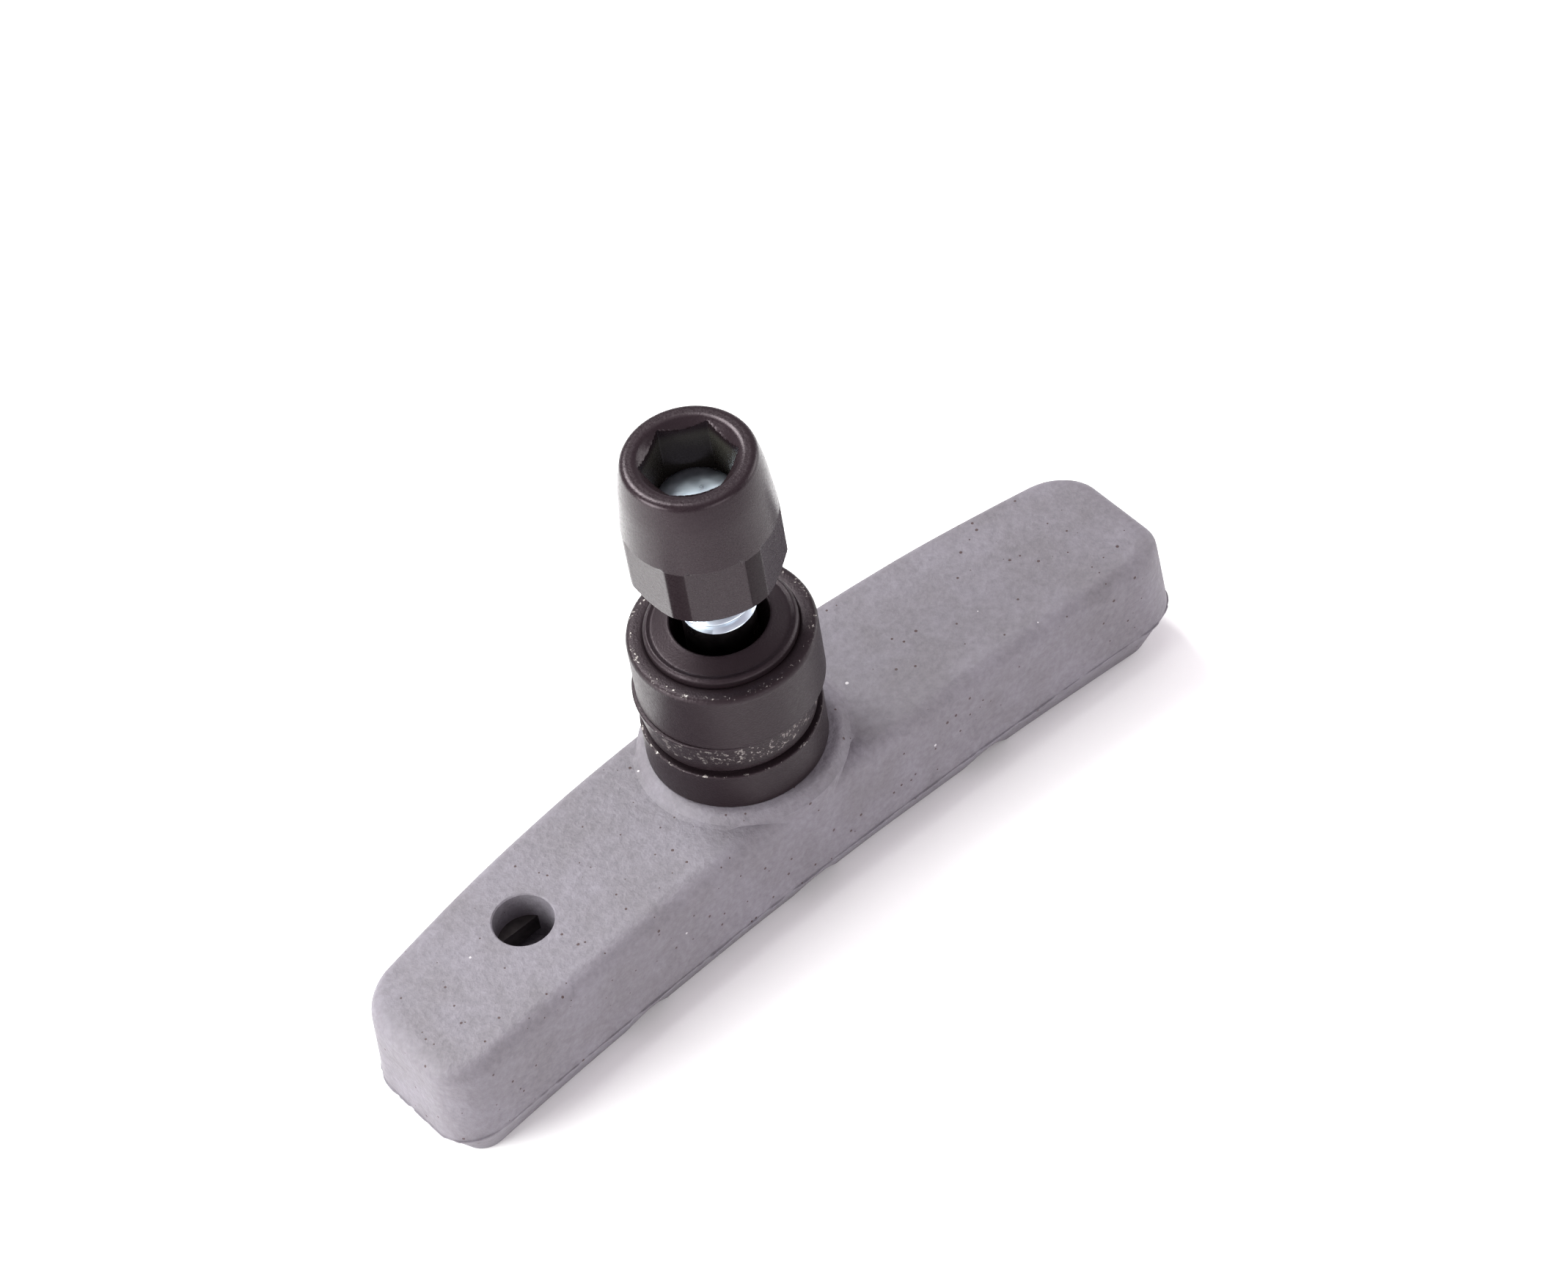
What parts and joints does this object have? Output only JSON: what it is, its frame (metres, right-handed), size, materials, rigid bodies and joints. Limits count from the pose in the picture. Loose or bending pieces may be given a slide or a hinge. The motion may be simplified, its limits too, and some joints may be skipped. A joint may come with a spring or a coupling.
{
  "type": "rim brake pad",
  "caption": "Curved rubber rim brake pad on a threaded stud, with paired hollow and domed washers and a barrel nut with a hexagon socket.",
  "frame": {"origin": "centre of the box round the part, at the plane of the braking face", "axes": "+X along the length of the pad away from the blind hole in its back, +Y towards the bowed long edge, +Z along the stud from the braking face to the nut"},
  "size_m": [0.0704, 0.0172, 0.0432],
  "materials": {
    "rubber": "matte moulded rubber",
    "zinc_steel": "zinc plated steel",
    "plate_steel": "plain pressed steel",
    "black_washer": "satin black finish, worn bright at the edges",
    "black_nut": "satin black finish"
  },
  "bodies": {
    "root": {"rubber_pad": "rubber", "backing_plate": "plate_steel", "stud": "zinc_steel", "lower_cup_washer": "black_washer", "lower_dome_washer": "black_washer", "tall_cup_washer": "black_washer", "upper_dome_washer": "black_washer", "barrel_nut": "black_nut"}
  },
  "joints": []
}
